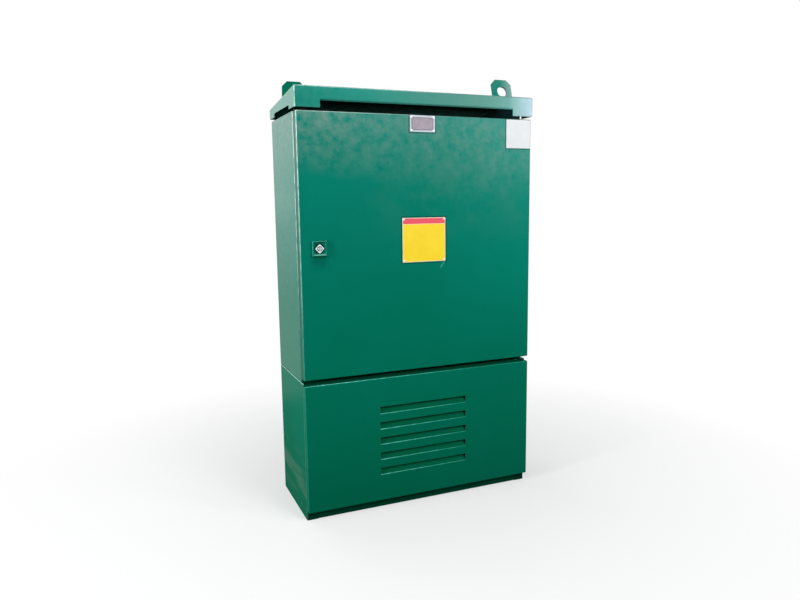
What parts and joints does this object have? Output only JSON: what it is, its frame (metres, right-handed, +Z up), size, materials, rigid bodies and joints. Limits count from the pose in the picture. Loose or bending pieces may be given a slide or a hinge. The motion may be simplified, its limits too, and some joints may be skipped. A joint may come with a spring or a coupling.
{
  "type": "distribution cabinet",
  "caption": "Free-standing roadside distribution cabinet of folded sheet with a hinged door, a louvred base cover, a sloping ventilated roof and lifting eyes.",
  "frame": {"origin": "centre of the anchor bolt pattern, on the floor plane under the cabinet", "axes": "+Z up, front faces -Y, +X to the right when facing the front"},
  "size_m": [0.808, 0.332, 1.4016],
  "materials": {
    "green_paint": "semi-gloss powder coat",
    "frame_paint": "semi-gloss powder coat",
    "zinc_steel": "zinc plated",
    "lock_metal": "bright plated",
    "seal_rubber": "matte",
    "sign_paint": "enamel",
    "plate_metal": "satin",
    "label_film": "gloss",
    "copper": "drawn, slightly dull",
    "rail_plastic": "matte",
    "fuse_ceramic": "matte",
    "insulator_plastic": "satin"
  },
  "bodies": {
    "cabinet": {"base_bottom_frame": "frame_paint", "base_cover": "green_paint", "base_top_frame": "frame_paint", "base_wrap": "green_paint", "body_bottom_frame": "frame_paint", "body_top_sheet": "green_paint", "body_wrap": "green_paint", "busbar_insulators": "insulator_plastic", "cable_clamp_rail": "zinc_steel", "cover_nuts": "zinc_steel", "cover_studs": "zinc_steel", "earth_bar": "copper", "earth_bar_spacers": "zinc_steel", "fuse_contacts": "copper", "fuse_links": "fuse_ceramic", "fuse_rail_1": "rail_plastic", "fuse_rail_2": "rail_plastic", "fuse_rail_3": "rail_plastic", "fuse_rail_4": "rail_plastic", "fuse_rail_5": "rail_plastic", "fuse_rail_bolts": "zinc_steel", "header_rail": "green_paint", "joining_bolts": "zinc_steel", "lifting_eye_back": "green_paint", "lifting_eye_bolts": "zinc_steel", "lifting_eye_front": "green_paint", "lower_busbar": "copper", "lower_hinge_bracket": "zinc_steel", "lower_hinge_pin": "zinc_steel", "middle_busbar": "copper", "mounting_channel_left": "zinc_steel", "mounting_channel_right": "zinc_steel", "neutral_bar": "copper", "neutral_bolts": "zinc_steel", "neutral_insulators": "insulator_plastic", "roof": "green_paint", "roof_bolts": "zinc_steel", "roof_support_left": "green_paint", "roof_support_right": "green_paint", "sill_rail": "green_paint", "upper_busbar": "copper", "upper_hinge_bracket": "zinc_steel", "upper_hinge_pin": "zinc_steel"},
    "door": {"door_panel": "green_paint", "door_stiffener_left": "green_paint", "door_stiffener_right": "green_paint", "lower_hinge_leaf": "zinc_steel", "upper_hinge_leaf": "zinc_steel", "door_seal": "seal_rubber", "lock_housing": "green_paint", "lock_nut": "zinc_steel", "sign_plate": "sign_paint", "sign_rivets": "plate_metal", "rating_plate": "plate_metal", "rating_plate_rivets": "plate_metal", "door_label": "label_film"},
    "lock": {"lock_core": "lock_metal", "lock_cam": "zinc_steel", "cam_screw": "zinc_steel"}
  },
  "joints": [
    {"name": "door_hinge", "type": "hinge", "parent": "cabinet", "child": "door", "pos_m": [0.391, -0.136, 0.859], "axis": [0, 0, 1], "range_deg": [0, 110]},
    {"name": "lock_turn", "type": "hinge", "parent": "door", "child": "lock", "pos_m": [-0.341, -0.1185, 0.859], "axis": [0, 1, 0], "range_deg": [0, 90]}
  ]
}
